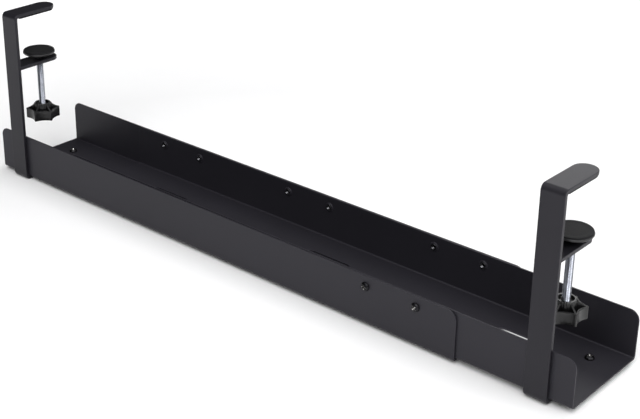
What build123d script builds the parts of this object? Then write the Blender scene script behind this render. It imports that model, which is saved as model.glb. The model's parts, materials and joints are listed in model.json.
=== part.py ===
"""Extendable under-desk cable tray with a C-shaped clamp bracket at each end.

Two bent U channels telescope along X. Each one hangs from a strap bracket whose flange
goes over the desk and whose clamp screw presses a swivel pad up from below.
Millimetres, +Z up. X runs along the tray, +Y from its front wall to its back wall.
The origin is the middle of the footprint, on the surface that the bracket feet stand on.
"""

import os
from math import cos, radians, sin

from build123d import *

os.makedirs("parts", exist_ok=True)

# Trays
OVERALL = 800.0  # shortest working length, the trays pushed together
TRAY_LENGTH = 676.0  # each channel
TRAY_DEPTH = 117.0  # outer channel, across its walls
TRAY_HEIGHT = 52.0  # outer channel, underside to rim
SHEET = 1.5
SLIDE_GAP = 0.3  # clearance between the two channels
OUTER_BEND = 2.5  # outside radius of the outer channel's bends
INNER_BEND = 3.2  # outside radius of the inner channel's bends
WALL_CORNER = 10.0  # rounded upper corners of the walls

# Lock screws and the inserts that take them
LOCK_HEIGHT = 40.5  # above the outer tray's underside
LOCK_X = 570.0  # first screw, from the left end
LOCK_PAIR = 60.0  # between the two screws
LOCK_PITCH = 200.0  # one extension step
LOCK_STEPS = 3
INSERT_RADIUS = 3.5
INSERT_LENGTH = 3.2
COLLAR_RADIUS = 4.6
COLLAR_LENGTH = 1.2

# Cable slots in the inner floor
SLOT_X = 188.0  # first slot's left end, from the left end of the whole tray
SLOT_LENGTH = 61.0
SLOT_WIDTH = 16.0
SLOT_PITCH = 243.0
SLOT_OFFSET = 12.0  # rows, each side of the tray's middle
SLOT_COUNT = 3

# Bracket straps
STRAP_WIDTH = 24.0
STRAP = 4.0  # thickness
STRAP_INSET = 24.0  # from the tray's end to the strap
STRAP_BEND = 6.0  # outside radius
FLANGE_TOP = 205.0  # above the tray's underside
FLANGE_LENGTH = 64.0  # from the strap's front face to the flange's tip
FOOT_LENGTH = 102.0
FOOT_SCREW_Y = (28.0, 84.0)  # from the tray's front face
FOOT_SCREW_SHIFT = 5.0  # from the strap's middle towards the tray's end
TOP_PAD = 2.0
TOP_PAD_INSET = 0.8
TOP_PAD_START = 4.0  # from the upright's back face

# Clamp
ARM_UNDERSIDE = 137.0  # above the tray's underside
ARM_LENGTH = 60.0
CLAMP_Y = 37.0  # clamp axis, from the upright's back face
SPINDLE_RADIUS = 3.95
SPINDLE_BOTTOM = 65.7
SPINDLE_TOP = 141.4
PIN_RADIUS = 2.0
PIN_TOP = 147.0
RUNNING = 0.06  # radial clearance of turning fits
BALL_RADIUS = 3.8
BALL_Z = 145.0
BALL_FLAT = 3.2  # half height of the ball, between its flats
SOCKET_RADIUS = 4.1
PAD_RADIUS = 19.0
PAD_BOTTOM = 142.4
PAD_RIM = 147.2
PAD_TOP = 150.0
PAD_BOSS = 7.5
FACE_RADIUS = 18.4
FACE = 1.5

# Knob
KNOB_RADIUS = 20.0
KNOB_BOTTOM = 64.7
KNOB_RIM = 12.5
KNOB_WALL = 2.0
KNOB_FLOOR = 3.5
FLUTE_RADIUS = 20.3
FLUTE_CENTRE = 35.7
HUB_RADIUS = 10.2
HUB_TOP_RADIUS = 9.6
HUB_HEIGHT = 19.0
HUB_CUP_RADIUS = 7.2
HUB_CUP_DEPTH = 3.0
RIB = 2.0
KNOB_TURN = {"left": -8.0, "right": 30.0}  # where each knob happens to stand
NUT_FLATS = 13.0
NUT = 6.5
NUT_RECESS = 0.8

# M5 pan-head screws
HEAD_RADIUS = 4.75
HEAD_HEIGHT = 3.2
HEAD_EDGE = 1.4
SHANK_RADIUS = 2.5
TAPPED = 0.05  # radial clearance of a screw in its tapped hole
CLEARANCE_HOLE = 2.8
CROSS_WIDTH = 1.3
CROSS_LENGTH = 5.2
CROSS_DEPTH = 1.8
LOCK_SHANK = 1.6
FOOT_SHANK = 5.2

# Places that follow from the sizes above
LEFT = -OVERALL / 2
FRONT = -(STRAP + TRAY_DEPTH + HEAD_HEIGHT) / 2 + STRAP
BASE = STRAP
NEST = SHEET + SLIDE_GAP  # how far the inner channel sits inside the outer one
INNER_LEFT = LEFT + OVERALL - TRAY_LENGTH
BACK = FRONT + TRAY_DEPTH
SIDES = {
    "left": {"x": LEFT + STRAP_INSET + STRAP_WIDTH / 2, "nest": 0.0, "outward": -1},
    "right": {"x": -LEFT - STRAP_INSET - STRAP_WIDTH / 2, "nest": NEST, "outward": 1},
}
for place in SIDES.values():
    place["screw_x"] = place["x"] + place["outward"] * FOOT_SCREW_SHIFT


def save(name, builder):
    """Labels a finished piece and writes it under its own name."""
    builder.part.label = name
    export_step(builder.part, f"parts/{name}.step")


def channel(start, front, back, base, top, bend):
    """A U channel bent from one sheet, its walls' upper corners rounded."""
    with BuildPart() as body:
        with BuildSketch(Plane.YZ.offset(start)):
            with BuildLine():
                FilletPolyline((front, top), (front, base), (back, base), (back, top), radius=bend)
                Line((back, top), (back - SHEET, top))
                FilletPolyline(
                    (back - SHEET, top),
                    (back - SHEET, base + SHEET),
                    (front + SHEET, base + SHEET),
                    (front + SHEET, top),
                    radius=bend - SHEET,
                )
                Line((front + SHEET, top), (front, top))
            make_face()
        extrude(amount=TRAY_LENGTH)
        fillet(body.edges().filter_by(Axis.Y).group_by(Axis.Z)[-1], WALL_CORNER)
    return body


def wall_places(y, xs, facing):
    """Places on a wall at lock-screw height, local +Z pointing out of the front (-1) or back (+1)."""
    return [Location((x, y, BASE + LOCK_HEIGHT), (-90 * facing, 0, 0)) for x in xs]


def pan_screw(shank):
    """A pan-head screw with a cross recess, its head standing on the local XY plane."""
    with BuildPart() as screw:
        with BuildSketch(Plane.XZ):
            with BuildLine():
                Polyline(
                    (0, HEAD_HEIGHT),
                    (0, -shank),
                    (SHANK_RADIUS, -shank),
                    (SHANK_RADIUS, 0),
                    (HEAD_RADIUS, 0),
                    (HEAD_RADIUS, HEAD_EDGE),
                )
                TangentArc((0, HEAD_HEIGHT), (HEAD_RADIUS, HEAD_EDGE), tangent=(1, 0))
            make_face()
        revolve(axis=Axis.Z)
        with BuildSketch(Plane.XY.offset(HEAD_HEIGHT - CROSS_DEPTH)):
            Rectangle(CROSS_LENGTH, CROSS_WIDTH)
            Rectangle(CROSS_WIDTH, CROSS_LENGTH)
        extrude(amount=CROSS_DEPTH, mode=Mode.SUBTRACT)
    return screw


lock_xs = [LEFT + LOCK_X, LEFT + LOCK_X + LOCK_PAIR]
insert_xs = [x - step * LOCK_PITCH for step in range(LOCK_STEPS) for x in lock_xs]
inner_front = FRONT + NEST
inner_back = BACK - NEST

# Outer tray
with BuildPart() as outer_tray:
    add(channel(LEFT, FRONT, BACK, BASE, BASE + TRAY_HEIGHT, OUTER_BEND).part)
    with Locations(*wall_places(FRONT, lock_xs, -1), *wall_places(BACK, lock_xs, 1)):
        Hole(CLEARANCE_HOLE, depth=SHEET)
    with Locations(*[(SIDES["left"]["screw_x"], FRONT + y, BASE + SHEET) for y in FOOT_SCREW_Y]):
        Hole(CLEARANCE_HOLE, depth=SHEET)
save("outer_tray", outer_tray)

# Inner tray, with a raised collar round each insert
with BuildPart() as inner_tray:
    add(channel(INNER_LEFT, inner_front, inner_back, BASE + NEST, BASE + TRAY_HEIGHT, INNER_BEND).part)
    with Locations(
        *wall_places(inner_front + SHEET + COLLAR_LENGTH, insert_xs, -1),
        *wall_places(inner_back - SHEET - COLLAR_LENGTH, insert_xs, 1),
    ):
        Cylinder(COLLAR_RADIUS, COLLAR_LENGTH, align=(Align.CENTER, Align.CENTER, Align.MIN))
    with Locations(
        *wall_places(inner_front, insert_xs, -1),
        *wall_places(inner_back, insert_xs, 1),
    ):
        Hole(INSERT_RADIUS, depth=SHEET + COLLAR_LENGTH)
    with Locations(*[(SIDES["right"]["screw_x"], inner_front + y, BASE + NEST + SHEET) for y in FOOT_SCREW_Y]):
        Hole(CLEARANCE_HOLE, depth=SHEET)
    with BuildSketch(Plane.XY.offset(BASE + NEST)):
        with Locations(
            *[
                (LEFT + SLOT_X + SLOT_LENGTH / 2 + i * SLOT_PITCH, (FRONT + BACK) / 2 + row * SLOT_OFFSET)
                for i in range(SLOT_COUNT)
                for row in (-1, 1)
            ]
        ):
            SlotOverall(SLOT_LENGTH, SLOT_WIDTH)
    extrude(amount=SHEET, mode=Mode.SUBTRACT)
save("inner_tray", inner_tray)

# Threaded inserts, three pairs in each wall of the inner tray
for side, wall, facing in (("front", inner_front, -1), ("back", inner_back, 1)):
    with BuildPart() as nut_inserts:
        with Locations(*wall_places(wall, insert_xs, facing)):
            Cylinder(INSERT_RADIUS, INSERT_LENGTH, align=(Align.CENTER, Align.CENTER, Align.MAX))
            Hole(SHANK_RADIUS + TAPPED, depth=INSERT_LENGTH)
    save(f"nut_inserts_{side}", nut_inserts)

# Lock screws, through the outer walls only, so that the trays can slide
for side, wall, facing in (("front", FRONT, -1), ("back", BACK, 1)):
    with BuildPart() as lock_screws:
        with Locations(*wall_places(wall, lock_xs, facing)):
            add(pan_screw(LOCK_SHANK).part)
    save(f"lock_screws_{side}", lock_screws)

for side, place in SIDES.items():
    x = place["x"]
    front = FRONT + place["nest"]  # the upright's back face, on the tray's front wall
    base = BASE + place["nest"]  # the foot's top face, under the tray's floor
    clamp_y = front + CLAMP_Y
    flange_end = front - STRAP + FLANGE_LENGTH - STRAP_WIDTH / 2
    foot_end = front - STRAP + FOOT_LENGTH - STRAP_WIDTH / 2

    # Strap: foot, upright and flange bent from one bar, with round ends
    with BuildPart() as bracket:
        with BuildSketch(Plane.YZ.offset(x - STRAP_WIDTH / 2)):
            with BuildLine():
                FilletPolyline(
                    (flange_end, base + FLANGE_TOP),
                    (front - STRAP, base + FLANGE_TOP),
                    (front - STRAP, base - STRAP),
                    (foot_end, base - STRAP),
                    radius=STRAP_BEND,
                )
                Line((foot_end, base - STRAP), (foot_end, base))
                FilletPolyline(
                    (foot_end, base),
                    (front, base),
                    (front, base + FLANGE_TOP - STRAP),
                    (flange_end, base + FLANGE_TOP - STRAP),
                    radius=STRAP_BEND - STRAP,
                )
                Line((flange_end, base + FLANGE_TOP - STRAP), (flange_end, base + FLANGE_TOP))
            make_face()
        extrude(amount=STRAP_WIDTH)
        with Locations((x, flange_end, base + FLANGE_TOP), (x, foot_end, base)):
            Cylinder(STRAP_WIDTH / 2, STRAP, align=(Align.CENTER, Align.CENTER, Align.MAX))
        with Locations(*[(place["screw_x"], front + y, base) for y in FOOT_SCREW_Y]):
            Hole(SHANK_RADIUS + TAPPED, depth=STRAP)
    save(f"bracket_{side}", bracket)

    # Arm: a flat plate standing out from the upright, drilled for the spindle
    with BuildPart() as jaw_arm:
        with BuildSketch(Plane.XY.offset(base + ARM_UNDERSIDE)):
            with Locations((x, front)):
                Rectangle(STRAP_WIDTH, ARM_LENGTH - STRAP_WIDTH / 2, align=(Align.CENTER, Align.MIN))
            with Locations((x, front + ARM_LENGTH - STRAP_WIDTH / 2)):
                Circle(STRAP_WIDTH / 2)
            with Locations((x, clamp_y)):
                Circle(SPINDLE_RADIUS + RUNNING, mode=Mode.SUBTRACT)
        extrude(amount=STRAP)
    save(f"jaw_arm_{side}", jaw_arm)

    # Soft strip under the flange
    with BuildPart() as top_pad:
        with BuildSketch(Plane.XY.offset(base + FLANGE_TOP - STRAP - TOP_PAD)):
            with Locations((x, front + TOP_PAD_START)):
                Rectangle(
                    STRAP_WIDTH - 2 * TOP_PAD_INSET,
                    flange_end - front - TOP_PAD_START,
                    align=(Align.CENTER, Align.MIN),
                )
            with Locations((x, flange_end)):
                Circle(STRAP_WIDTH / 2 - TOP_PAD_INSET)
        extrude(amount=TOP_PAD)
    save(f"top_pad_{side}", top_pad)

    # Screws down through the tray's floor into the foot
    with BuildPart() as foot_screws:
        with Locations(*[(place["screw_x"], front + y, base + SHEET) for y in FOOT_SCREW_Y]):
            add(pan_screw(FOOT_SHANK).part)
    save(f"foot_screws_{side}", foot_screws)

    # Spindle, with a thin pin at its top for the ball
    with BuildPart() as clamp_screw:
        with Locations((x, clamp_y, base + SPINDLE_BOTTOM)):
            Cylinder(
                SPINDLE_RADIUS,
                SPINDLE_TOP - SPINDLE_BOTTOM,
                align=(Align.CENTER, Align.CENTER, Align.MIN),
            )
        with Locations((x, clamp_y, base + SPINDLE_TOP)):
            Cylinder(PIN_RADIUS, PIN_TOP - SPINDLE_TOP, align=(Align.CENTER, Align.CENTER, Align.MIN))
    save(f"clamp_screw_{side}", clamp_screw)

    # Ball that carries the pad and turns on the pin
    with BuildPart() as pad_ball:
        with Locations((x, clamp_y, base + BALL_Z)):
            Sphere(BALL_RADIUS)
            Box(2 * BALL_RADIUS, 2 * BALL_RADIUS, 2 * BALL_FLAT, mode=Mode.INTERSECT)
            Cylinder(PIN_RADIUS + RUNNING, 2 * BALL_RADIUS, mode=Mode.SUBTRACT)
    save(f"pad_ball_{side}", pad_ball)

    # Pressure pad: a disc on a conical boss, hollowed for the ball
    with BuildPart() as swivel_pad:
        with BuildSketch(Plane.XZ.offset(-clamp_y)):
            with BuildLine():
                Polyline(
                    (x, base + PAD_BOTTOM),
                    (x + PAD_BOSS, base + PAD_BOTTOM),
                    (x + PAD_BOSS * 1.35, base + PAD_RIM - 0.6),
                    (x + PAD_RADIUS - 1.0, base + PAD_RIM),
                    (x + PAD_RADIUS, base + PAD_RIM + 1.0),
                    (x + PAD_RADIUS, base + PAD_TOP),
                    (x, base + PAD_TOP),
                    close=True,
                )
            make_face()
        revolve(axis=Axis((x, clamp_y, 0), (0, 0, 1)))
        with Locations((x, clamp_y, base + BALL_Z)):
            Sphere(SOCKET_RADIUS, mode=Mode.SUBTRACT)
    save(f"swivel_pad_{side}", swivel_pad)

    # Soft facing on the pad
    with BuildPart() as pad_face:
        with Locations((x, clamp_y, base + PAD_TOP)):
            Cylinder(FACE_RADIUS, FACE, align=(Align.CENTER, Align.CENTER, Align.MIN))
    save(f"pad_face_{side}", pad_face)

    # Nut held in the knob's underside
    turn = KNOB_TURN[side]
    with BuildPart() as knob_nut:
        with BuildSketch(Plane.XY.offset(base + KNOB_BOTTOM + NUT_RECESS)):
            with Locations(Location((x, clamp_y, 0), turn)):
                RegularPolygon(NUT_FLATS / 2, 6, major_radius=False)
                Circle(SPINDLE_RADIUS, mode=Mode.SUBTRACT)
        extrude(amount=NUT)
    save(f"knob_nut_{side}", knob_nut)

    # Knob: fluted rim, hollow top, a raised hub and a rib to each point
    with BuildPart() as knob:
        with BuildSketch(Plane.XY.offset(base + KNOB_BOTTOM)) as outline:
            with Locations(Location((x, clamp_y, 0), turn)):
                Circle(KNOB_RADIUS)
                with PolarLocations(FLUTE_CENTRE, 6, start_angle=30):
                    Circle(FLUTE_RADIUS, mode=Mode.SUBTRACT)
        extrude(amount=KNOB_RIM)
        with BuildSketch(Plane.XY.offset(base + KNOB_BOTTOM + KNOB_FLOOR)):
            add(outline.sketch.moved(Location((0, 0, KNOB_FLOOR))))
            offset(amount=-KNOB_WALL, mode=Mode.REPLACE)
        extrude(amount=KNOB_RIM, mode=Mode.SUBTRACT)
        for i in range(6):
            angle = radians(turn + i * 60)
            radial = Plane(
                origin=(x, clamp_y, base + KNOB_BOTTOM),
                x_dir=(cos(angle), sin(angle), 0),
                z_dir=(sin(angle), -cos(angle), 0),
            )
            with BuildSketch(radial):
                with BuildLine():
                    Polyline(
                        (0, KNOB_FLOOR / 2),
                        (KNOB_RADIUS - KNOB_WALL, KNOB_FLOOR / 2),
                        (KNOB_RADIUS - KNOB_WALL / 2, KNOB_RIM),
                        (HUB_TOP_RADIUS - KNOB_WALL, HUB_HEIGHT - 1.0),
                        (0, HUB_HEIGHT - 1.0),
                        close=True,
                    )
                make_face()
            extrude(amount=RIB / 2, both=True)
        with Locations((x, clamp_y, base + KNOB_BOTTOM)):
            Cone(HUB_RADIUS, HUB_TOP_RADIUS, HUB_HEIGHT, align=(Align.CENTER, Align.CENTER, Align.MIN))
        with Locations((x, clamp_y, base + KNOB_BOTTOM + HUB_HEIGHT)):
            Hole(HUB_CUP_RADIUS, depth=HUB_CUP_DEPTH)
            Hole(SPINDLE_RADIUS, depth=HUB_HEIGHT)
        with BuildSketch(Plane.XY.offset(base + KNOB_BOTTOM)):
            with Locations(Location((x, clamp_y, 0), turn)):
                RegularPolygon(NUT_FLATS / 2, 6, major_radius=False)
        extrude(amount=NUT + NUT_RECESS, mode=Mode.SUBTRACT)
    save(f"knob_{side}", knob)
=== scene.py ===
"""Looks of the extendable under-desk cable tray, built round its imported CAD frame.

Metres, +Z up. Places come from the frame's boxes. The sizes named here are the ones that a box
doesn't hold: sheet thickness, bends, edge roundings, holes, threads and the knob's outline.
"""

import json
from math import cos, exp, log, pi, radians, sin, sqrt

import bmesh
import bpy
from mathutils import Matrix, Vector

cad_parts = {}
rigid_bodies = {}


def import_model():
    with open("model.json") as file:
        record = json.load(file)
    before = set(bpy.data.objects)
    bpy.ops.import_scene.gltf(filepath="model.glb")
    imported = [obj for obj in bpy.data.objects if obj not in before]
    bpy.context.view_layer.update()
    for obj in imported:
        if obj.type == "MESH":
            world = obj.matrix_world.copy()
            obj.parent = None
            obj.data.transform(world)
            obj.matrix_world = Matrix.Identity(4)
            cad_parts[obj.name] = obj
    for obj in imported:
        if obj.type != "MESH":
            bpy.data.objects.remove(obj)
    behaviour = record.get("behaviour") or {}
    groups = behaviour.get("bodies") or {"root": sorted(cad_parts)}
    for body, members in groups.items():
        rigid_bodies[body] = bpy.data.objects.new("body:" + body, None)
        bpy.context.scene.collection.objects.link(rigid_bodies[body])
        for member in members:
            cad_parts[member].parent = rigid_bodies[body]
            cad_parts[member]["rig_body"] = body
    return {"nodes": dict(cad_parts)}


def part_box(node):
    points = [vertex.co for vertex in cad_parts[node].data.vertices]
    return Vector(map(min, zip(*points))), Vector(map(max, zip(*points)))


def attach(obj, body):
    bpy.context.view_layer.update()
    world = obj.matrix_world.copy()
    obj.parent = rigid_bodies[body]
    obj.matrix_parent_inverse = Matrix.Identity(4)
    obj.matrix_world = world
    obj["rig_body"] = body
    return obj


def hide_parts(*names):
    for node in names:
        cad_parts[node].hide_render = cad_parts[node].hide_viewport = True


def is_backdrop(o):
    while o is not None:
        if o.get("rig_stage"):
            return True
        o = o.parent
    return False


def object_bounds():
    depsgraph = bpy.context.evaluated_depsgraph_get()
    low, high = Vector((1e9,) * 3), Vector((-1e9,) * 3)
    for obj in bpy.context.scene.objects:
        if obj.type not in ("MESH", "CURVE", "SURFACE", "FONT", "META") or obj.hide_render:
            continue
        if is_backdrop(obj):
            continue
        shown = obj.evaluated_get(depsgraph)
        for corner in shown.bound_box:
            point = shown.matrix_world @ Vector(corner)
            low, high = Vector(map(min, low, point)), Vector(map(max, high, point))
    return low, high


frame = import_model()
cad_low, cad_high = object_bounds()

MM = 0.001

# Mesh making
EDGE_STEPS = 3
BEND_STEPS = 10
HOLE_STEPS = 28
HEAD_STEPS = 48
ROUND_STEPS = 40  # points round a spindle, an insert or a collar
KNOB_STEPS = 288
WIDEST_MITRE = 0.5  # least cosine by which a corner's inset is stretched
ROUNDING_SHARE = 0.45  # most of a side that one rounded corner takes up
FLAT_WITHIN = radians(0.5)
CUT_REACH = 1e-7
JUST_OFF = 0.001 * MM  # keeps two points of a round end from meeting

# Sheet metal
SHEET = 1.5 * MM
SHEET_EDGE = 0.3 * MM  # rounding of a cut edge under the coat
OUTER_BEND = 2.5 * MM
INNER_BEND = 3.2 * MM
WALL_CORNER = 10 * MM
STRAP = 4 * MM
STRAP_EDGE = 0.45 * MM
STRAP_BEND = 6 * MM
FLANGE_LENGTH = 64 * MM
EDGE_TURN = (0.9, 0.995)  # cosines by which a rounded edge counts wholly, or not at all
# Coat paler along rounded edges: partly worn coat, partly a painted highlight on the rims
WEAR_AND_HIGHLIGHT_WIDTH = 0.9 * MM
WEAR_AND_HIGHLIGHT_PALER = 1.5

# Holes in the trays
CLEARANCE_HOLE = 2.8 * MM
LOCK_PITCH = 200 * MM
LOCK_STEPS = 3
COLLAR_RADIUS = 4.6 * MM
COLLAR_LENGTH = 1.2 * MM
COLLAR_FLARE = 0.5 * MM
COLLAR_SOFTNESS = 0.45 * MM
SLOT_X = 188 * MM  # first slot, from the left end of the whole tray
SLOT_LENGTH = 61 * MM
SLOT_WIDTH = 16 * MM
SLOT_PITCH = 243 * MM
SLOT_OFFSET = 12 * MM
SLOT_COUNT = 3
LEAN = 1.6 * MM  # how far the inner tray's front wall springs inward at its hidden end
LEAN_LENGTH = 450 * MM
LEAN_STEPS = 16
LEAN_DEPTH = 4 * INNER_BEND  # what leans, from the front: the wall, its bend and its inserts

# Screws and inserts
HEAD_RADIUS = 4.75 * MM
HEAD_HEIGHT = 3.2 * MM
SHANK_RADIUS = 2.5 * MM
M5_PITCH = 0.8 * MM
M5_THREAD = 0.35 * MM
THREAD_ROOT = 0.12  # the flat of a thread's root, in half pitches
THREAD_FLANK = 0.72  # its slope
TIP_CHAMFER = 0.3 * MM
CROSS_LENGTH = 5.2 * MM
CROSS_WIDTH = 1.25 * MM
CROSS_DEPTH = 1.9 * MM
CROSS_CLEARANCE = 0.3 * MM  # how far the recess's cutter starts above the head
CROSS_MOUTH = 1.12  # its size there, as a share of its size on the head
CROSS_TIP = 0.5  # and at its bottom
INSERT_RADIUS = 3.5 * MM
INSERT_BORE = SHANK_RADIUS + 0.35 * MM
INSERT_THREAD_STEPS = 24

# Clamp
BORE_RADIUS = 4.01 * MM
M8_PITCH = 1.25 * MM
M8_THREAD = 0.55 * MM
SPINDLE_RADIUS = 3.95 * MM
SPINDLE_TOP = 5.6 * MM  # below the pin's top
PIN_RADIUS = 2 * MM
WELD = 1.6 * MM
WELD_STEPS = 44
WELD_INSET = 1.2 * MM  # from each edge of the arm
STRIP_EDGE = 0.75 * MM
STRIP_CORNER = 1.5 * MM
PAD_BOSS = 7.5 * MM
PAD_BORE = 2.6 * MM

# Knob
KNOB_TURN = {"left": radians(-8), "right": radians(30)}
KNOB_RADIUS = 20 * MM
KNOB_RIM = 12.5 * MM
KNOB_FLOOR = 3.5 * MM
KNOB_WALL = 2 * MM
KNOB_EDGE = 0.7 * MM
FLUTE_RADIUS = 20.3 * MM
FLUTE_CENTRE = 35.7 * MM
POINT_ROUNDING = 0.18 * MM
HUB_RADIUS = 10.2 * MM
HUB_TOP_RADIUS = 9.6 * MM
CUP_RADIUS = 7.2 * MM
CUP_DEPTH = 3 * MM
SERRATIONS = 24
SERRATION = 0.35 * MM
RIB = 2 * MM
RIB_EDGE = 0.35 * MM
NUT_FLATS = 13 * MM
NUT_GAP = 0.12 * MM  # between the nut and its pocket, across the flats


# ---------------------------------------------------------------- outlines

def arc(centre, radius, start, end, steps=12):
    """Points along an arc, both ends included, angles in degrees."""
    turns = [radians(start + (end - start) * i / steps) for i in range(steps + 1)]
    return [(centre[0] + radius * cos(a), centre[1] + radius * sin(a)) for a in turns]


def circle(centre, radius, steps):
    return arc(centre, radius, 0, 360, steps)[:-1]


def slot_outline(centre, length, width):
    """A slot along X with round ends."""
    reach = (length - width) / 2
    x, y = centre
    return arc((x + reach, y), width / 2, -90, 90) + arc((x - reach, y), width / 2, 90, 270)


def rectangle(left, bottom, right, top, radius):
    """A rectangle with rounded corners, counter-clockwise."""
    return (
        arc((right - radius, bottom + radius), radius, -90, 0)
        + arc((right - radius, top - radius), radius, 0, 90)
        + arc((left + radius, top - radius), radius, 90, 180)
        + arc((left + radius, bottom + radius), radius, 180, 270)
    )


def tongue(left, bottom, right, top, corner, corner_steps):
    """A bar's outline from above: two small corners at its root and one round end."""
    radius = (right - left) / 2
    return [
        *arc((left + corner, bottom + corner), corner, 180, 270, corner_steps),
        *arc((right - corner, bottom + corner), corner, 270, 360, corner_steps),
        *arc(((left + right) / 2, top - radius), radius, 0, 180, 32),
    ]


def rounded(points, radius, steps=4):
    """An open outline with every inner corner rounded."""
    made = [points[0]]
    for before, corner, after in zip(points, points[1:], points[2:]):
        corner = Vector(corner)
        back = Vector(before) - corner
        ahead = Vector(after) - corner
        reach = min(radius, ROUNDING_SHARE * back.length, ROUNDING_SHARE * ahead.length)
        start = corner + back.normalized() * reach
        end = corner + ahead.normalized() * reach
        for i in range(steps + 1):
            t = i / steps
            made.append(tuple(start * (1 - t) ** 2 + corner * 2 * t * (1 - t) + end * t**2))
    return [*made, points[-1]]


# ---------------------------------------------------------------- meshes

def plate(outline, holes, thick, edge):
    """A flat plate from z 0 to thick, the edges of its outline and holes rounded over."""
    bm = bmesh.new()
    quarter = [radians(90 * i / EDGE_STEPS) for i in range(EDGE_STEPS + 1)]
    profile = [(edge * (1 - sin(a)), edge * (1 - cos(a))) for a in quarter]
    profile += [(inset, thick - z) for inset, z in reversed(profile)]
    lower, upper = [], []
    for loop in [outline, *[hole[::-1] for hole in holes]]:
        count = len(loop)
        away = []
        for i in range(count):
            back = (Vector(loop[i]) - Vector(loop[i - 1])).normalized()
            ahead = (Vector(loop[(i + 1) % count]) - Vector(loop[i])).normalized()
            along = (back + ahead).normalized()
            away.append(Vector((along.y, -along.x)) / max(WIDEST_MITRE, along.dot(ahead)))
        rings = []
        for inset, z in profile:
            at = [Vector(p) - a * inset for p, a in zip(loop, away)]
            rings.append([bm.verts.new((p.x, p.y, z)) for p in at])
        for ring, following in zip(rings, rings[1:]):
            for i in range(count):
                j = (i + 1) % count
                bm.faces.new((ring[i], ring[j], following[j], following[i]))
        for side, ring in ((lower, rings[0]), (upper, rings[-1])):
            side += [bm.edges.get((ring[i], ring[(i + 1) % count])) for i in range(count)]
    for side, facing in ((lower, -1), (upper, 1)):
        bmesh.ops.triangle_fill(bm, edges=side, use_beauty=True, normal=(0, 0, facing))
    flats = [e for e in bm.edges if all(len(f.verts) == 3 for f in e.link_faces)]
    bmesh.ops.dissolve_limit(bm, angle_limit=FLAT_WITHIN, edges=flats, verts=[])
    bmesh.ops.recalc_face_normals(bm, faces=bm.faces)
    return bm


def split(bm, place, normal):
    """Cuts every face along a plane, and keeps both sides."""
    whole = [*bm.verts, *bm.edges, *bm.faces]
    bmesh.ops.bisect_plane(bm, geom=whole, dist=CUT_REACH, plane_co=place, plane_no=normal)


def fold(bm, runs, bend, thick, start, heading):
    """Bends a flat plate, which runs along Y, by 90 degrees after each run but the last.

    start and heading are in (Y, Z); z 0 of the plate becomes the outside of every bend.
    """
    arc_length = (bend - thick / 2) * pi / 2
    at = 0.0
    for run in runs[:-1]:
        at += run
        for i in range(BEND_STEPS + 1):
            split(bm, (0, at + arc_length * i / BEND_STEPS, 0), (0, 1, 0))
        at += arc_length
    for v in bm.verts:
        x, s, w = v.co
        place, ahead = Vector(start), Vector(heading)
        for k, run in enumerate(runs):
            inside = Vector((-ahead.y, ahead.x))
            if s <= run or k == len(runs) - 1:
                y, z = place + ahead * s + inside * w
                break
            s -= run
            centre = place + ahead * run + inside * bend
            if s < arc_length:
                turn = Matrix.Rotation(s / arc_length * pi / 2, 2)
                y, z = centre - turn @ inside * (bend - w)
                break
            s -= arc_length
            place = centre + ahead * bend
            ahead = inside
        v.co = (x, y, z)
    return bm


def loft(rings, closed=False):
    """A skin over rings of points. An open run is capped at both ends; a closed one joins up."""
    bm = bmesh.new()
    made = [[bm.verts.new(p) for p in ring] for ring in rings]
    count = len(made[0])
    pairs = list(zip(made, made[1:]))
    if closed:
        pairs.append((made[-1], made[0]))
    for ring, following in pairs:
        for i in range(count):
            j = (i + 1) % count
            bm.faces.new((ring[i], ring[j], following[j], following[i]))
    if not closed:
        bm.faces.new(made[0][::-1])
        bm.faces.new(made[-1])
    bmesh.ops.recalc_face_normals(bm, faces=bm.faces)
    return bm


def ring(radius, z, steps=96):
    """Points round the Z axis. radius is a number, or a function of the angle."""
    turns = [2 * pi * i / steps for i in range(steps)]
    reach = radius if callable(radius) else lambda angle: radius
    return [(reach(a) * cos(a), reach(a) * sin(a), z) for a in turns]


def lathe(profile, steps=96, closed=False):
    """Turns a profile of (radius, z) points round the Z axis."""
    return loft([ring(r, z, steps) for r, z in profile], closed)


def moved(bm, matrix):
    bmesh.ops.transform(bm, matrix=matrix, verts=bm.verts)
    return bm


def facing(place, direction, spin=0):
    """Stands a Z-up mesh at a place, pointing along a direction, turned on its own axis."""
    turn = Vector(direction).to_track_quat("Z", "X").to_matrix().to_4x4()
    return Matrix.Translation(place) @ turn @ Matrix.Rotation(radians(spin), 4, "Z")


def joined(meshes):
    """Several bmeshes as one."""
    whole = bmesh.new()
    for bm in meshes:
        part = bpy.data.meshes.new("part")
        bm.to_mesh(part)
        whole.from_mesh(part)
        bpy.data.meshes.remove(part)
        bm.free()
    return whole


def cut(bm, tool, operation="DIFFERENCE"):
    """A boolean of two closed bmeshes."""
    objects = []
    for each in (bm, tool):
        mesh = bpy.data.meshes.new("solid")
        each.to_mesh(mesh)
        each.free()
        obj = bpy.data.objects.new("solid", mesh)
        bpy.context.scene.collection.objects.link(obj)
        objects.append(obj)
    body, other = objects
    boolean = body.modifiers.new("boolean", "BOOLEAN")
    boolean.object = other
    boolean.operation = operation
    boolean.solver = "EXACT"
    evaluated = body.evaluated_get(bpy.context.evaluated_depsgraph_get())
    result = bpy.data.meshes.new_from_object(evaluated)
    made = bmesh.new()
    made.from_mesh(result)
    for obj in objects:
        bpy.data.objects.remove(obj)
    bpy.data.meshes.remove(result)
    return made


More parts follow.
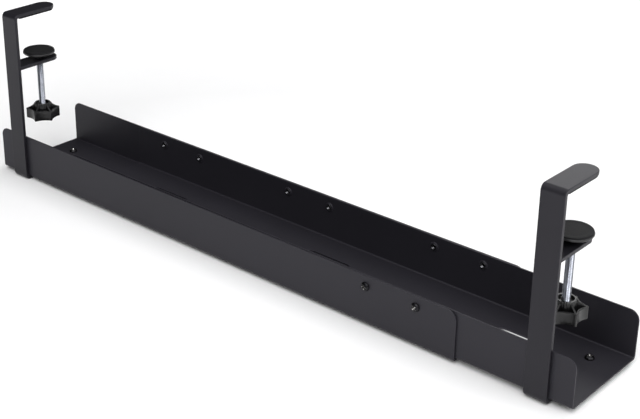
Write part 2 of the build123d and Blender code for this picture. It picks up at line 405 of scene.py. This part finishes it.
def piece(name, bm, finish, node, sharp=35, weighted=False):
    """Adds a mesh as a piece that stands for a CAD node and moves with that node's body.

    finish is a material, or a tuple of them; sharp is the angle from which an edge stays sharp.
    """
    mesh = bpy.data.meshes.new(name)
    bm.to_mesh(mesh)
    bm.free()
    mesh.shade_smooth()
    mesh.set_sharp_from_angle(angle=radians(sharp))
    obj = bpy.data.objects.new(name, mesh)
    bpy.context.scene.collection.objects.link(obj)
    for each in finish if isinstance(finish, tuple) else (finish,):
        mesh.materials.append(each)
    if weighted:
        normals = obj.modifiers.new("flat faces stay flat", "WEIGHTED_NORMAL")
        normals.weight = 100
        normals.keep_sharp = True
    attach(obj, frame["nodes"][node]["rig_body"])
    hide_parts(node)
    return obj


# ---------------------------------------------------------------- materials

class Finish:
    """A material under construction: a Principled surface and the nodes that feed it."""

    def __init__(self, name, **fixed):
        self.material = bpy.data.materials.new(name)
        self.material.use_nodes = True
        self.tree = self.material.node_tree
        self.surface = self.tree.nodes["Principled BSDF"]
        self.place = self.node("ShaderNodeTexCoord").outputs["Object"]
        for socket, value in fixed.items():
            self.surface.inputs[socket.replace("_", " ")].default_value = value

    def node(self, kind, **values):
        made = self.tree.nodes.new(kind)
        for key, value in values.items():
            setattr(made, key, value)
        return made

    def link(self, source, target):
        self.tree.links.new(source, target)

    def noise(self, scale, detail=4.0, rough=0.55, stretch=(1, 1, 1)):
        """Noise in the object's own space, scale in features per metre."""
        mapping = self.node("ShaderNodeMapping")
        mapping.inputs["Scale"].default_value = stretch
        self.link(self.place, mapping.inputs["Vector"])
        made = self.node("ShaderNodeTexNoise")
        made.inputs["Scale"].default_value = scale
        made.inputs["Detail"].default_value = detail
        made.inputs["Roughness"].default_value = rough
        self.link(mapping.outputs["Vector"], made.inputs["Vector"])
        return made.outputs["Fac"]

    def ramp(self, source, stops):
        """A colour ramp through (position, colour) stops."""
        made = self.node("ShaderNodeValToRGB")
        elements = made.color_ramp.elements
        while len(elements) < len(stops):
            elements.new(0.5)
        for element, (position, colour) in zip(elements, stops):
            element.position = position
            element.color = (*colour, 1) if len(colour) == 3 else colour
        self.link(source, made.inputs["Fac"])
        return made.outputs["Color"]

    def span(self, source, low, high, start=0.3, end=0.7):
        """Maps a factor's middle range to low..high."""
        made = self.node("ShaderNodeMapRange")
        made.inputs["From Min"].default_value = start
        made.inputs["From Max"].default_value = end
        made.inputs["To Min"].default_value = low
        made.inputs["To Max"].default_value = high
        self.link(source, made.inputs["Value"])
        return made.outputs["Result"]

    def mix(self, factor, first, second):
        made = self.node("ShaderNodeMix", data_type="RGBA")
        self.link(factor, made.inputs["Factor"])
        for socket, value in (("A", first), ("B", second)):
            target = next(i for i in made.inputs if i.name == socket and i.type == "RGBA")
            if isinstance(value, tuple):
                target.default_value = (*value, 1)
            else:
                self.link(value, target)
        return next(o for o in made.outputs if o.type == "RGBA")

    def edges(self, radius):
        """1 on rounded edges and 0 on flat faces: how far a wide bevel turns the normal."""
        bevel = self.node("ShaderNodeBevel", samples=4)
        bevel.inputs["Radius"].default_value = radius
        geometry = self.node("ShaderNodeNewGeometry")
        dot = self.node("ShaderNodeVectorMath", operation="DOT_PRODUCT")
        self.link(bevel.outputs["Normal"], dot.inputs[0])
        self.link(geometry.outputs["Normal"], dot.inputs[1])
        return self.span(dot.outputs["Value"], 1, 0, *EDGE_TURN)

    def bump(self, *layers):
        """Stacks (height source, strength, distance) layers of bump."""
        normal = None
        for source, strength, distance in layers:
            made = self.node("ShaderNodeBump")
            made.inputs["Strength"].default_value = strength
            made.inputs["Distance"].default_value = distance
            self.link(source, made.inputs["Height"])
            if normal:
                self.link(normal, made.inputs["Normal"])
            normal = made.outputs["Normal"]
        self.link(normal, self.surface.inputs["Normal"])

    def colour(self, source):
        self.link(source, self.surface.inputs["Base Color"])

    def roughness(self, source):
        self.link(source, self.surface.inputs["Roughness"])


def powder_coat(name, dark, light, rough):
    """Fine-textured matt black powder coat, a little paler along the edges: partly thinner, worn
    coat and partly a painted highlight on the rims.
    """
    coat = Finish(name, Specular_IOR_Level=0.33, Specular_Tint=(0.94, 0.92, 1, 1))
    grain = coat.noise(2600, 3, 0.6)
    peel = coat.noise(420, 2, 0.5)
    cloud = coat.noise(9, 3, 0.5)
    speckle = coat.ramp(grain, [(0.3, dark), (0.72, light)])
    tone = coat.mix(coat.span(cloud, 0.0, 0.5), speckle, light)
    # Paler edge colour: partly worn coat, partly a painted highlight along the rims
    wear_and_highlight = tuple(c * WEAR_AND_HIGHLIGHT_PALER for c in light)
    coat.colour(coat.mix(coat.edges(WEAR_AND_HIGHLIGHT_WIDTH), tone, wear_and_highlight))
    coat.roughness(coat.span(grain, rough - 0.06, rough + 0.1))
    coat.bump((peel, 0.25, 0.08 * MM), (grain, 0.5, 0.05 * MM))
    return coat.material


def moulded_plastic(name, dark, light, rough, grain_size):
    """Injection-moulded black plastic with a spark-eroded grain."""
    plastic = Finish(name, Specular_IOR_Level=0.5)
    grain = plastic.noise(grain_size, 2, 0.5)
    cloud = plastic.noise(60, 3, 0.5)
    plastic.colour(plastic.ramp(cloud, [(0.3, dark), (0.7, light)]))
    plastic.roughness(plastic.span(grain, rough - 0.05, rough + 0.1))
    plastic.bump((grain, 0.35, 0.04 * MM))
    return plastic.material


def soft_rubber(name, dark, light, rough, grain_size, depth):
    """Matt rubber or foam with open grain and a dusty bloom."""
    rubber = Finish(name, Specular_IOR_Level=0.15, Sheen_Weight=0.02, Sheen_Roughness=0.5)
    grain = rubber.noise(grain_size, 4, 0.65)
    bloom = rubber.noise(45, 3, 0.5)
    rubber.colour(rubber.ramp(bloom, [(0.3, dark), (0.75, light)]))
    rubber.roughness(rubber.span(grain, rough - 0.08, rough + 0.08))
    rubber.bump((grain, 0.5, depth))
    return rubber.material


def zinc(name, pale, dull, rough):
    """Zinc-plated steel, its plating clouded and drawn along the axis."""
    plated = Finish(name, Metallic=1.0)
    cloud = plated.noise(130, 4, 0.6)
    drawn = plated.noise(900, 3, 0.6, (1, 1, 0.02))
    plated.colour(plated.ramp(cloud, [(0.35, dull), (0.65, pale)]))
    plated.roughness(plated.span(drawn, rough - 0.05, rough + 0.1))
    plated.bump((drawn, 0.08, 0.01 * MM))
    return plated.material


TRAY_COAT = powder_coat("tray_coat", (0.011, 0.0104, 0.0134), (0.0185, 0.0176, 0.0225), 0.46)
BRACKET_COAT = powder_coat("bracket_coat", (0.0066, 0.0063, 0.0082), (0.0112, 0.0106, 0.0138), 0.42)
BLACK_SCREW = zinc("black_screw", (0.035, 0.034, 0.037), (0.018, 0.018, 0.02), 0.34)
# Bare steel in the cross recesses: partly wear from the driver, partly made pale to paint a glint
DRIVEN_WEAR_AND_GLINT = zinc("driven_cross_glint", (0.5, 0.49, 0.48), (0.22, 0.22, 0.22), 0.3)
SPINDLE_ZINC = zinc("zinc_spindle", (0.5, 0.52, 0.58), (0.38, 0.4, 0.45), 0.27)
INSERT_ZINC = zinc("zinc_insert", (0.13, 0.13, 0.14), (0.06, 0.06, 0.064), 0.28)
NUT_ZINC = zinc("zinc_nut", (0.78, 0.78, 0.77), (0.58, 0.58, 0.57), 0.28)
BALL_STEEL = zinc("steel_ball", (0.62, 0.62, 0.63), (0.5, 0.5, 0.52), 0.2)
KNOB_PLASTIC = moulded_plastic(
    "knob_plastic", (0.003, 0.003, 0.0034), (0.0055, 0.0055, 0.006), 0.3, 1900
)
PAD_PLASTIC = moulded_plastic(
    "pad_plastic", (0.010, 0.010, 0.011), (0.015, 0.015, 0.016), 0.38, 2400
)
PAD_FACE = soft_rubber(
    "pad_face", (0.007, 0.007, 0.0078), (0.011, 0.011, 0.012), 0.6, 1800, 0.03 * MM
)
SOFT_STRIP = soft_rubber(
    "soft_pad", (0.005, 0.005, 0.0055), (0.009, 0.009, 0.0098), 0.8, 1500, 0.12 * MM
)


# ---------------------------------------------------------------- trays

def centres(node, radius, axis=0):
    """The first and last centre along an axis of a row of round things of that radius."""
    low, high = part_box(node)
    return low[axis] + radius, high[axis] - radius


LOCK_XS = centres("lock_screws_front", HEAD_RADIUS)
LOCK_Z = centres("lock_screws_front", HEAD_RADIUS, 2)[0]
INSERT_XS = [x - step * LOCK_PITCH for step in range(LOCK_STEPS) for x in LOCK_XS]


def tray(node, bend, wall_xs, wall_radius, side, slots=()):
    """A U channel: flat sheet with its holes, bent up along both sides.

    side is the end that its bracket's foot screws go through.
    """
    low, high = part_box(node)
    wall = high.z - low.z - bend
    corner = (bend - SHEET / 2) * pi / 2
    floor = high.y - low.y - 2 * bend
    length = 2 * (wall + corner) + floor
    drop = high.z - LOCK_Z
    foot_low, foot_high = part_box(f"foot_screws_{side}")
    foot_x = (foot_low.x + foot_high.x) / 2
    foot_ys = centres(f"foot_screws_{side}", HEAD_RADIUS, 1)

    def along(y):
        """Where a place on the tray's floor lies on the flat sheet."""
        return wall + corner + y - low.y - bend

    holes = [
        circle((x, s), wall_radius, HOLE_STEPS) for x in wall_xs for s in (drop, length - drop)
    ]
    holes += [circle((foot_x, along(y)), CLEARANCE_HOLE, HOLE_STEPS) for y in foot_ys]
    holes += [slot_outline((x, along(y)), SLOT_LENGTH, SLOT_WIDTH) for x, y in slots]
    outline = rectangle(low.x, 0, high.x, length, WALL_CORNER)
    flat = plate(outline, holes, SHEET, SHEET_EDGE)
    return fold(flat, [wall, floor, wall], bend, SHEET, (low.y, high.z), (0, -1))


def collars(node):
    """Raised rings round the inserts, on the inside of both walls."""
    low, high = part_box(node)
    profile = rounded(
        [
            (INSERT_RADIUS, -SHEET / 2),
            (COLLAR_RADIUS + COLLAR_FLARE, -SHEET / 2),
            (COLLAR_RADIUS + 0.6 * COLLAR_FLARE, 0),
            (COLLAR_RADIUS, COLLAR_LENGTH),
            (INSERT_RADIUS, COLLAR_LENGTH),
        ],
        COLLAR_SOFTNESS,
    )
    made = []
    for y, inward in ((low.y + SHEET, 1), (high.y - SHEET, -1)):
        for x in INSERT_XS:
            collar = lathe(profile, ROUND_STEPS, closed=True)
            made.append(moved(collar, facing((x, y, LOCK_Z), (0, inward, 0))))
    return made


def sprung(bm):
    """Lets the inner tray's front wall spring inward from the lock screws to its left end."""
    low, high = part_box("inner_tray")
    for i in range(1, LEAN_STEPS + 1):
        split(bm, (low.x + LEAN_LENGTH * i / LEAN_STEPS, 0, 0), (1, 0, 0))
    for v in bm.verts:
        if v.co.y < low.y + LEAN_DEPTH:
            reach = max(0, 1 - ((v.co.x - low.x) / LEAN_LENGTH) ** 2)
            v.co.y += LEAN * reach * (v.co.z - low.z) / (high.z - low.z)
    return bm


MIDDLE_Y = (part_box("outer_tray")[0].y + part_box("outer_tray")[1].y) / 2
SLOT_PLACES = [
    (cad_low.x + SLOT_X + SLOT_LENGTH / 2 + i * SLOT_PITCH, MIDDLE_Y + row * SLOT_OFFSET)
    for i in range(SLOT_COUNT)
    for row in (-1, 1)
]
outer = tray("outer_tray", OUTER_BEND, LOCK_XS, CLEARANCE_HOLE, "left")
piece("outer_tray_sheet", outer, TRAY_COAT, "outer_tray", weighted=True)
inner = tray("inner_tray", INNER_BEND, INSERT_XS, INSERT_RADIUS, "right", SLOT_PLACES)
inner = sprung(joined([inner, *collars("inner_tray")]))
piece("inner_tray_sheet", inner, TRAY_COAT, "inner_tray", weighted=True)


# ---------------------------------------------------------------- screws and inserts

def threaded(radius, depth, pitch, z):
    """A ring radius that follows a vee thread round the axis at height z."""

    def reach(angle):
        phase = (z / pitch - angle / (2 * pi)) % 1
        height = min(1, max(0, (1 - abs(2 * phase - 1) - THREAD_ROOT) / THREAD_FLANK))
        return radius - depth * (1 - height)

    return reach


def pan_screw(shank):
    """An M5 pan-head screw, its head standing on the XY plane, with a tapered cross recess."""
    root = SHANK_RADIUS - M5_THREAD
    head = rounded(
        [
            (0.2 * MM, HEAD_HEIGHT),
            (0.55 * HEAD_RADIUS, HEAD_HEIGHT - 0.12 * MM),
            (HEAD_RADIUS - 0.5 * MM, 0.62 * HEAD_HEIGHT),
            (HEAD_RADIUS, 0.3 * HEAD_HEIGHT),
            (HEAD_RADIUS, 0),
            (root, 0),
        ],
        1.1 * MM,
    )
    rings = [ring(r, z, HEAD_STEPS) for r, z in head]
    steps = max(4, int(shank / M5_PITCH * 6))
    for i in range(1, steps):
        z = -shank * i / steps
        near_end = root - TIP_CHAMFER + min(2 * TIP_CHAMFER, shank + z)
        thread = threaded(SHANK_RADIUS, M5_THREAD, M5_PITCH, z)
        rings.append(ring(lambda a, t=thread, e=near_end: min(t(a), e), z, HEAD_STEPS))
    rings.append(ring(root - TIP_CHAMFER, -shank, HEAD_STEPS))
    cross = []
    quarter_turns = ((1, 0), (0, 1), (-1, 0), (0, -1))
    for scale, z in (
        (CROSS_MOUTH, HEAD_HEIGHT + CROSS_CLEARANCE),
        (1.0, HEAD_HEIGHT),
        (CROSS_TIP, HEAD_HEIGHT - CROSS_DEPTH),
    ):
        reach, half = scale * CROSS_LENGTH / 2, (0.35 + 0.65 * scale) * CROSS_WIDTH / 2
        wing = [(reach, -half), (reach, half), (half, half)]
        cross.append(
            [(x * c - y * s, x * s + y * c, z) for c, s in quarter_turns for x, y in wing]
        )
    screw = cut(loft(rings), loft(cross))
    # Recess faces take the pale bare-steel finish: driver wear, and partly a painted glint
    for f in screw.faces:
        centre = f.calc_center_median()
        if centre.xy.length < CROSS_LENGTH / 2 and 0 < centre.z < HEAD_HEIGHT - 0.2 * MM:
            f.material_index = 1
    return screw


def insert():
    """A press-in threaded insert, its outer face on the XY plane and its length along +Z."""
    low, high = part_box("nut_inserts_front")
    length = high.y - low.y
    rim = rounded(
        [
            (INSERT_BORE, 0),
            (INSERT_RADIUS, 0),
            (INSERT_RADIUS, length),
            (INSERT_BORE, length),
        ],
        0.4 * MM,
    )
    rings = [ring(r, z, ROUND_STEPS) for r, z in rim]
    for i in range(1, INSERT_THREAD_STEPS):
        z = length * (1 - i / INSERT_THREAD_STEPS)
        bore = threaded(INSERT_BORE + 0.05 * MM, M5_THREAD, M5_PITCH, z)
        rings.append(ring(bore, z, ROUND_STEPS))
    return loft(rings, closed=True)


for side, outward in (("front", -1), ("back", 1)):
    low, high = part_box(f"lock_screws_{side}")
    seat = high.y - HEAD_HEIGHT if outward > 0 else low.y + HEAD_HEIGHT
    shank = high.y - low.y - HEAD_HEIGHT
    screws = []
    for i, x in enumerate(LOCK_XS):
        spin = 18 + 47 * i + 20 * outward  # each cross stopped at its own angle
        screws.append(moved(pan_screw(shank), facing((x, seat, LOCK_Z), (0, outward, 0), spin)))
    node = f"lock_screws_{side}"
    piece(f"{node}_pan_head", joined(screws), (BLACK_SCREW, DRIVEN_WEAR_AND_GLINT), node, sharp=28)

    node = f"nut_inserts_{side}"
    low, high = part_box(node)
    outside = low.y if outward < 0 else high.y
    inserts = joined([
        moved(insert(), facing((x, outside, LOCK_Z), (0, -outward, 0))) for x in INSERT_XS
    ])
    if side == "front":
        inserts = sprung(inserts)
    piece(f"{node}_threaded", inserts, INSERT_ZINC, node, sharp=30)

for side in ("left", "right"):
    node = f"foot_screws_{side}"
    low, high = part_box(node)
    x, seat = (low.x + high.x) / 2, high.z - HEAD_HEIGHT
    screws = [
        moved(pan_screw(seat - low.z), facing((x, y, seat), (0, 0, 1), 12 + 31 * i))
        for i, y in enumerate(centres(node, HEAD_RADIUS, 1))
    ]
    piece(f"{node}_pan_head", joined(screws), (BLACK_SCREW, DRIVEN_WEAR_AND_GLINT), node, sharp=28)


# ---------------------------------------------------------------- brackets

def strap(side):
    """Foot, upright and flange: one bar with round ends, bent twice."""
    low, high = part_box(f"bracket_{side}")
    upright = high.z - low.z - 2 * STRAP_BEND
    runs = [FLANGE_LENGTH - STRAP_BEND, upright, high.y - low.y - STRAP_BEND]
    corner = (STRAP_BEND - STRAP / 2) * pi / 2
    length = sum(runs) + 2 * corner
    foot_start = runs[0] + runs[1] + 2 * corner
    screw_x = centres(f"foot_screws_{side}", HEAD_RADIUS)[0]
    screws = [
        circle((screw_x, foot_start + y - low.y - STRAP_BEND), SHANK_RADIUS, HOLE_STEPS)
        for y in centres(f"foot_screws_{side}", HEAD_RADIUS, 1)
    ]
    outline = rectangle(low.x, 0, high.x, length, (high.x - low.x) / 2 - JUST_OFF)
    flat = plate(outline, screws, STRAP, STRAP_EDGE)
    return fold(flat, runs, STRAP_BEND, STRAP, (low.y + FLANGE_LENGTH, high.z), (-1, 0))


def arm(side):
    """The flat arm with its round end and bore, and the weld bead that holds it to the upright."""
    low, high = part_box(f"jaw_arm_{side}")
    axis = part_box(f"clamp_screw_{side}")
    bore = circle(((low.x + high.x) / 2, (axis[0].y + axis[1].y) / 2), BORE_RADIUS, 48)
    outline = tongue(low.x, low.y, high.x, high.y, STRAP_EDGE, 3)
    bar = plate(outline, [bore], high.z - low.z, STRAP_EDGE)
    moved(bar, Matrix.Translation((0, 0, low.z)))
    beads = []
    for z in (low.z, high.z):
        rings = []
        for i in range(WELD_STEPS + 1):
            t = i / WELD_STEPS
            taper = min(1, 5 * min(t, 1 - t) + 0.25)
            ripple = 1 + 0.13 * sin(t * WELD_STEPS * 0.9) + 0.06 * sin(t * 57)
            size = 0.9 * WELD * taper * ripple
            at = low.x + WELD_INSET + (high.x - low.x - 2 * WELD_INSET) * t
            turns = [2 * pi * k / 12 for k in range(12)]
            rings.append([(at, low.y + size * cos(a), z + size * sin(a)) for a in turns])
        beads.append(loft(rings))
    return joined([bar, *beads])


def soft_strip(side):
    """The soft strip under the flange, its edges rounded all round."""
    low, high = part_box(f"top_pad_{side}")
    outline = tongue(low.x, low.y, high.x, high.y, STRIP_CORNER, 6)
    strip = plate(outline, [], high.z - low.z, STRIP_EDGE)
    return moved(strip, Matrix.Translation((0, 0, low.z)))


for side in ("left", "right"):
    for node, name, made in (
        (f"bracket_{side}", f"bracket_{side}_strap", strap(side)),
        (f"jaw_arm_{side}", f"jaw_arm_{side}_plate", arm(side)),
    ):
        piece(name, made, BRACKET_COAT, node, weighted=True)
    node = f"top_pad_{side}"
    strip = piece(f"{node}_strip", soft_strip(side), SOFT_STRIP, node)


# ---------------------------------------------------------------- clamps

def spindle(side):
    """The M8 clamp screw with its thread, end chamfers and the thin pin for the ball."""
    low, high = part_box(f"clamp_screw_{side}")
    top = high.z - SPINDLE_TOP
    steps = round((top - low.z) / M8_PITCH * 8)
    rings = []
    for i in range(steps + 1):
        z = low.z + (top - low.z) * i / steps
        end = SPINDLE_RADIUS - M8_THREAD - 0.4 * MM + min(z - low.z, top - z)
        thread = threaded(SPINDLE_RADIUS, M8_THREAD, M8_PITCH, z)
        rings.append(ring(lambda a, t=thread, e=end: min(t(a), e), z, ROUND_STEPS))
    rings.append(ring(PIN_RADIUS, top, ROUND_STEPS))
    rings.append(ring(PIN_RADIUS, high.z - TIP_CHAMFER, ROUND_STEPS))
    rings.append(ring(PIN_RADIUS - TIP_CHAMFER, high.z, ROUND_STEPS))
    return loft(rings)


def pad(side):
    """The pressure pad: a disc on a conical boss, open underneath for the pin and the ball."""
    low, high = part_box(f"swivel_pad_{side}")
    radius, height = (high.x - low.x) / 2, high.z - low.z
    profile = rounded(
        [
            (PAD_BORE, height - 1.2 * MM),
            (PAD_BORE, 0),
            (PAD_BOSS, 0),
            (PAD_BOSS + 2.6 * MM, 0.55 * height),
            (radius - 1 * MM, 0.63 * height),
            (radius, 0.76 * height),
            (radius, height),
            (radius - 1.6 * MM, height),
        ],
        0.8 * MM,
    )
    return moved(lathe(profile), Matrix.Translation((0, 0, low.z)))


def pad_disc(side):
    """The soft disc on the pad, its rim rounded and its middle a touch hollow."""
    low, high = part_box(f"pad_face_{side}")
    radius, height = (high.x - low.x) / 2, high.z - low.z
    profile = rounded(
        [
            (0.3 * MM, height - 0.25 * MM),
            (0.72 * radius, height - 0.2 * MM),
            (0.85 * radius, height),
            (radius, height),
            (radius, 0),
            (0.3 * MM, 0),
        ],
        0.9 * MM,
        6,
    )
    return moved(lathe(profile), Matrix.Translation((0, 0, low.z)))


def flutes(inset):
    """The knob's outline: a circle hollowed between its six points, drawn in by inset."""

    def reach(angle):
        off = angle % (pi / 3) - pi / 6
        hollow = FLUTE_CENTRE * cos(off) - sqrt(FLUTE_RADIUS**2 - (FLUTE_CENTRE * sin(off)) ** 2)
        least, gap = min(KNOB_RADIUS, hollow), abs(KNOB_RADIUS - hollow)
        return least - POINT_ROUNDING * log(1 + exp(-gap / POINT_ROUNDING)) - inset

    return reach


def hexagon(flats):
    """A hexagon's radius at an angle."""
    return lambda angle: flats / 2 / cos((angle + pi / 6) % (pi / 3) - pi / 6)


def serrated(radius):
    """A round hub with shallow teeth."""
    return lambda angle: radius - SERRATION * (0.5 + 0.5 * cos(SERRATIONS * angle)) ** 2


def knob(side):
    """A hollow six-pointed knob: a serrated hub, a rib to each point and a pocket for its nut."""
    low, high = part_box(f"knob_{side}")
    height = high.z - low.z
    nut_low, nut_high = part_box(f"knob_nut_{side}")
    pocket = nut_high.z - low.z
    soft = KNOB_EDGE
    cup = height - CUP_DEPTH
    stations = [
        (hexagon(NUT_FLATS), 0.3 * MM),
        (hexagon(NUT_FLATS + 0.6 * MM), 0),
        (flutes(soft), 0),
        (flutes(0.3 * soft), 0.3 * soft),
        (flutes(0), soft),
        (flutes(0), 0.3 * KNOB_RIM),
        (flutes(0), 0.7 * KNOB_RIM),
        (flutes(0), KNOB_RIM - soft),
        (flutes(0.3 * soft), KNOB_RIM - 0.3 * soft),
        (flutes(soft), KNOB_RIM),
        (flutes(KNOB_WALL - 0.4 * MM), KNOB_RIM),
        (flutes(KNOB_WALL), KNOB_RIM - 0.5 * MM),
        (flutes(KNOB_WALL + 0.2 * MM), KNOB_FLOOR + 0.6 * MM),
        (flutes(KNOB_WALL + 0.8 * MM), KNOB_FLOOR),
        (HUB_RADIUS + 0.5 * MM, KNOB_FLOOR),
        (HUB_RADIUS, KNOB_FLOOR + 0.6 * MM),
        (0.5 * (HUB_RADIUS + HUB_TOP_RADIUS), 0.7 * height),
        (serrated(HUB_TOP_RADIUS + 0.15 * MM), 0.8 * height),
        (serrated(HUB_TOP_RADIUS), height - 0.5 * MM),
        (serrated(HUB_TOP_RADIUS - 0.45 * MM), height),
        (CUP_RADIUS + 0.4 * MM, height),
        (CUP_RADIUS, height - 0.4 * MM),
        (CUP_RADIUS - 0.2 * MM, cup + 0.5 * MM),
        (CUP_RADIUS - 0.7 * MM, cup),
        (BORE_RADIUS + 0.4 * MM, cup),
        (BORE_RADIUS, cup - 0.4 * MM),
        (BORE_RADIUS, pocket + 0.02 * MM),
        (hexagon(NUT_FLATS), pocket),
    ]
    body = loft([ring(reach, z, KNOB_STEPS) for reach, z in stations], closed=True)
    foot = KNOB_RADIUS - KNOB_WALL / 2
    fin = [
        (CUP_RADIUS + 1.2 * MM, KNOB_FLOOR - 1 * MM),
        (foot, KNOB_FLOOR - 1 * MM),
        (foot, KNOB_RIM - 0.7 * MM),
        (HUB_TOP_RADIUS + 0.6 * MM, height - 2.4 * MM),
        (CUP_RADIUS + 1.2 * MM, height - 2.0 * MM),
    ]
    stand = Matrix(((1, 0, 0, 0), (0, 0, -1, RIB / 2), (0, 1, 0, 0), (0, 0, 0, 1)))
    ribs = [
        moved(plate(fin, [], RIB, RIB_EDGE), Matrix.Rotation(i * pi / 3, 4, "Z") @ stand)
        for i in range(6)
    ]
    whole = cut(body, joined(ribs), "UNION")
    place = Matrix.Translation(((nut_low.x + nut_high.x) / 2, (nut_low.y + nut_high.y) / 2, low.z))
    return moved(whole, place @ Matrix.Rotation(KNOB_TURN[side], 4, "Z"))


def nut(side):
    """The hexagon nut in the knob's underside."""
    low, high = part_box(f"knob_nut_{side}")
    height = high.z - low.z
    bore = SPINDLE_RADIUS + 0.1 * MM
    stations = [
        (bore + 0.4 * MM, 0),
        (NUT_FLATS / 2, 0),
        (hexagon(NUT_FLATS - NUT_GAP), 0.6 * MM),
        (hexagon(NUT_FLATS - NUT_GAP), height - 0.1 * MM),
        (hexagon(NUT_FLATS - 3 * NUT_GAP), height),
        (bore + 0.4 * MM, height),
        (bore, height - 0.4 * MM),
        (bore, 0.4 * MM),
    ]
    place = Matrix.Translation(((low.x + high.x) / 2, (low.y + high.y) / 2, low.z))
    made = loft([ring(reach, z, 96) for reach, z in stations], closed=True)
    return moved(made, place @ Matrix.Rotation(KNOB_TURN[side], 4, "Z"))


for side in ("left", "right"):
    low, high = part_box(f"clamp_screw_{side}")
    axis = Matrix.Translation(((low.x + high.x) / 2, (low.y + high.y) / 2, 0))
    node = f"clamp_screw_{side}"
    piece(f"{node}_thread", moved(spindle(side), axis), SPINDLE_ZINC, node, 60)
    node = f"swivel_pad_{side}"
    piece(f"{node}_disc", moved(pad(side), axis), PAD_PLASTIC, node)
    node = f"pad_face_{side}"
    face = piece(f"{node}_soft", moved(pad_disc(side), axis), PAD_FACE, node)
    node = f"knob_{side}"
    piece(f"{node}_fluted", knob(side), KNOB_PLASTIC, node, 30)
    node = f"knob_nut_{side}"
    piece(f"{node}_hex", nut(side), NUT_ZINC, node, 30)
    ball = frame["nodes"][f"pad_ball_{side}"]
    ball.data.materials.clear()
    ball.data.materials.append(BALL_STEEL)


# ---------------------------------------------------------------- stage

FLOOR_SIZE = 30
FLOOR_DROP = 0.05 * MM
FAR_FLOOR = (0.5, 1.8)  # metres from the middle between which the floor starts to glow
FAR_GLOW = 0.9


def pale_floor():
    """A wide matt floor that the object stands on, kept white where the softboxes fall short."""
    bm = bmesh.new()
    bmesh.ops.create_grid(bm, x_segments=8, y_segments=8, size=FLOOR_SIZE)
    mesh = bpy.data.meshes.new("floor")
    bm.to_mesh(mesh)
    bm.free()
    floor = bpy.data.objects.new("floor", mesh)
    bpy.context.scene.collection.objects.link(floor)
    floor.location.z = cad_low.z - FLOOR_DROP
    paper = Finish("floor_paper", Specular_IOR_Level=0.2)
    tones = [(0.3, (0.88, 0.88, 0.885)), (0.7, (0.9, 0.9, 0.905))]
    paper.colour(paper.ramp(paper.noise(3, 3), tones))
    paper.roughness(paper.span(paper.noise(40, 2), 0.7, 0.85))
    far = paper.node("ShaderNodeVectorMath", operation="LENGTH")
    paper.link(paper.place, far.inputs[0])
    paper.surface.inputs["Emission Color"].default_value = (1, 1, 1, 1)
    glow = paper.span(far.outputs["Value"], 0, FAR_GLOW, *FAR_FLOOR)
    paper.link(glow, paper.surface.inputs["Emission Strength"])
    mesh.materials.append(paper.material)
    floor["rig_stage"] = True


def softbox(name, place, aim, size, power):
    """A square area light aimed at a point. It lights and reflects, and isn't seen itself."""
    light = bpy.data.lights.new(name, "AREA")
    light.size = size
    light.energy = power
    lamp = bpy.data.objects.new(name, light)
    bpy.context.scene.collection.objects.link(lamp)
    lamp.location = place
    lamp.rotation_euler = (Vector(aim) - Vector(place)).to_track_quat("-Z", "Y").to_euler()
    lamp.visible_camera = False


# Light on the floor under the right-hand slots, which the tray would otherwise shade
SLOT_LIGHT = Vector((SLOT_PLACES[-1][0], MIDDLE_Y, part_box("inner_tray")[0].z - 1 * MM))
CAMERA_PLACE = Vector((0.8621, -0.9605, 0.6717))
CAMERA_AZIMUTH = radians(42.21)  # 0 looks along +Y
CAMERA_ELEVATION = radians(22.91)
CAMERA_LENS = 74.77
CAMERA_SHIFT = (0.08, -0.10)  # what the framing needs
WORLD_STRENGTH = 0.04

pale_floor()
world = bpy.data.worlds.new("studio")
world.use_nodes = True
background = world.node_tree.nodes["Background"]
background.inputs["Color"].default_value = (1, 1, 1, 1)
background.inputs["Strength"].default_value = WORLD_STRENGTH
bpy.context.scene.world = world

# Each softbox's place, aim, width and power in watts
softbox("key", (1.2, -2.4, 2.8), (0.1, 0, 0), 2.5, 104)
softbox("side", (2.7, 0.3, 1.8), (0.1, 0, 0), 2.0, 48)
softbox("overhead", (0.2, 0.3, 3.0), (0.2, 0.3, 0), 4.0, 68)
softbox("back", (-0.07, 0.77, 0.61), (0.36, 0, 0.2), 0.35, 1.25)
softbox("under slots", SLOT_LIGHT, SLOT_LIGHT - Vector((0, 0, 1)), 0.08, 0.0145)

camera = bpy.data.objects.new("camera", bpy.data.cameras.new("camera"))
bpy.context.scene.collection.objects.link(camera)
camera.location = CAMERA_PLACE
camera.rotation_euler = (pi / 2 - CAMERA_ELEVATION, 0, CAMERA_AZIMUTH)
camera.data.lens = CAMERA_LENS
camera.data.shift_x, camera.data.shift_y = CAMERA_SHIFT
camera.data.clip_start, camera.data.clip_end = 0.05, 100
bpy.context.scene.camera = camera
bpy.context.scene.view_settings.view_transform = "Standard"

low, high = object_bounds()
